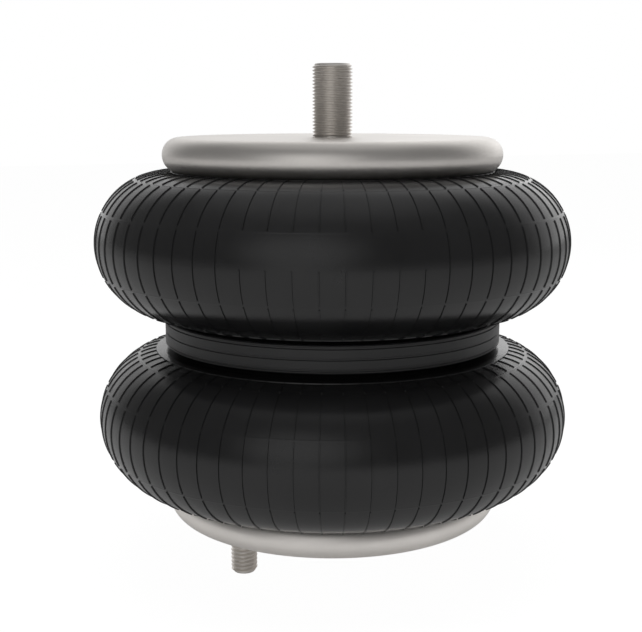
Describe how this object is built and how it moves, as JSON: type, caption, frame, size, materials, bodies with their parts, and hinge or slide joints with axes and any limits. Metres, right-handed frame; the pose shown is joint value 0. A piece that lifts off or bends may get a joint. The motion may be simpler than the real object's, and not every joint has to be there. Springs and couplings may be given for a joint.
{
  "type": "air bellows actuator",
  "caption": "double convolution rubber air bellows with rolled steel bead plates, girdle belt, hollow centre stud with air inlet above and mounting studs below",
  "frame": {"origin": "centre of the lower bead plate's mounting face", "axes": "+Z along the bellows' axis towards the centre stud, X along the line of the two lower mounting studs"},
  "size_m": [0.2266, 0.2268, 0.2444],
  "materials": {
    "plate_steel": "satin zinc plated",
    "stud_steel": "machined, threaded",
    "wire_steel": "bronze coated wire",
    "cover_rubber": "matte moulded",
    "belt_rubber": "matte moulded",
    "cord_ply": "rubberised cord",
    "liner_rubber": "smooth"
  },
  "bodies": {
    "lower_end": {"lower_bead_plate": "plate_steel", "lower_stud_left": "stud_steel", "lower_stud_right": "stud_steel", "lower_bead": "cover_rubber", "lower_bead_wire": "wire_steel", "lower_cover": "cover_rubber", "lower_outer_ply": "cord_ply", "lower_inner_ply": "cord_ply", "lower_liner": "liner_rubber"},
    "girdle": {"girdle_belt": "belt_rubber", "girdle_wire": "wire_steel"},
    "upper_end": {"upper_cover": "cover_rubber", "upper_outer_ply": "cord_ply", "upper_inner_ply": "cord_ply", "upper_liner": "liner_rubber", "upper_bead": "cover_rubber", "upper_bead_wire": "wire_steel", "upper_bead_plate": "plate_steel", "combo_stud": "stud_steel"}
  },
  "joints": [
    {"name": "lower_stroke", "type": "slide", "parent": "lower_end", "child": "girdle", "axis": [0, 0, 1], "range_m": [-0.052, 0.022], "stiffness_N_per_m": 6000, "springref_m": 0.0024, "deforming": ["lower_cover", "lower_outer_ply", "lower_inner_ply", "lower_liner"]},
    {"name": "upper_stroke", "type": "slide", "parent": "girdle", "child": "upper_end", "axis": [0, 0, 1], "range_m": [-0.052, 0.022], "stiffness_N_per_m": 6000, "springref_m": 0.0022, "deforming": ["upper_cover", "upper_outer_ply", "upper_inner_ply", "upper_liner"]}
  ],
  "couplings": [
    {"joint": "lower_stroke", "follows": "upper_stroke", "ratio": 1}
  ]
}
